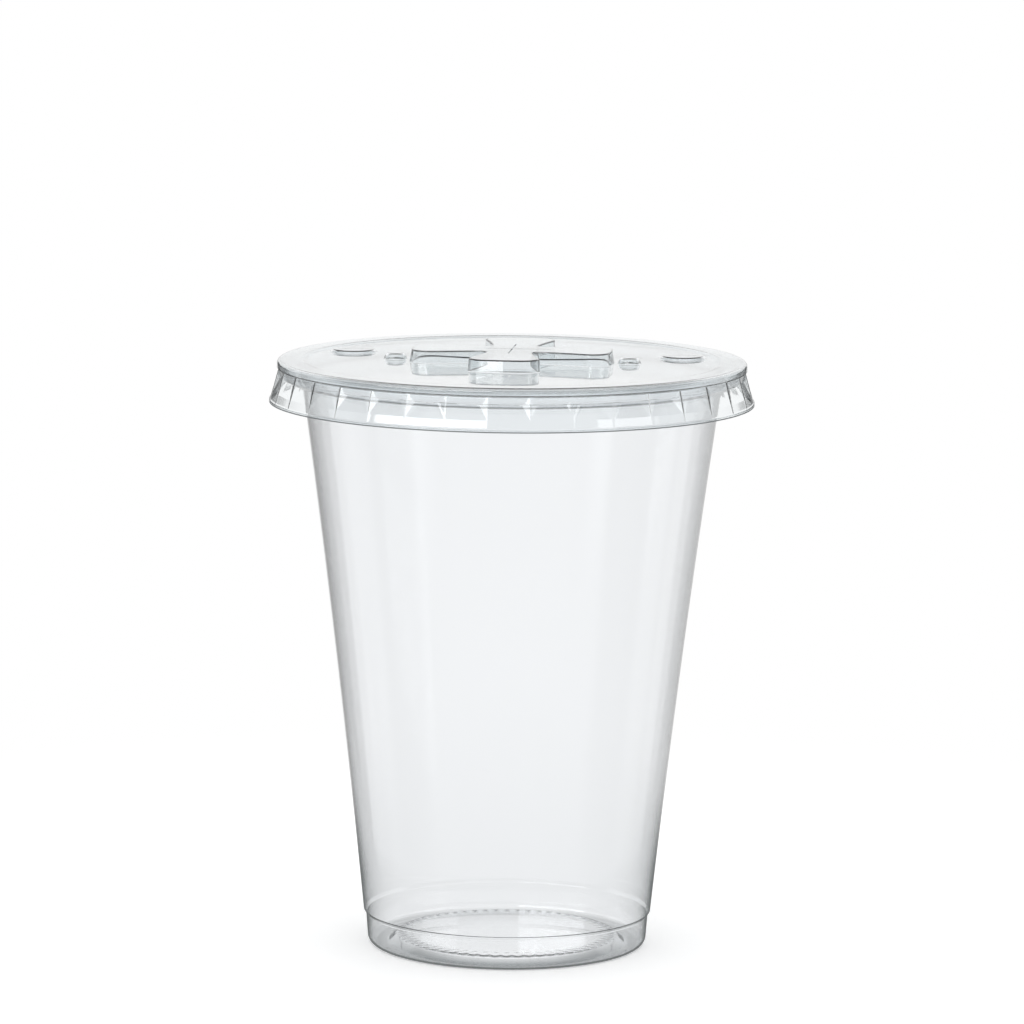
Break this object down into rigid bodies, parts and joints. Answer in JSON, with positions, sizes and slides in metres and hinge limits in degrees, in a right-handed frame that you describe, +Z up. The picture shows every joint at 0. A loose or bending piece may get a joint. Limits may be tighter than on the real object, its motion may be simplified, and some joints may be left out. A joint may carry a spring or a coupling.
{
  "type": "plastic cup with lid",
  "caption": "Clear tapered plastic drinking cup with a rolled rim and a press-on flat lid: fluted skirt, recessed panel, raised cross and crossed straw slot.",
  "frame": {"origin": "centre of the ring that the cup stands on, at table height", "axes": "+Z up along the cup's axis; -Y towards the picture's camera, +X to its right"},
  "size_m": [0.1008, 0.1008, 0.1255],
  "materials": {
    "cup_sheet": "clear, glossy, thermoformed sheet",
    "lid_sheet": "clear, glossy, thermoformed sheet"
  },
  "bodies": {
    "cup_body": {"cup": "cup_sheet"},
    "lid_body": {"lid": "lid_sheet"}
  },
  "joints": [
    {"name": "lid_lift", "type": "slide", "parent": "cup_body", "child": "lid_body", "axis": [0, 0, 1], "range_m": [0, 0.05]}
  ]
}
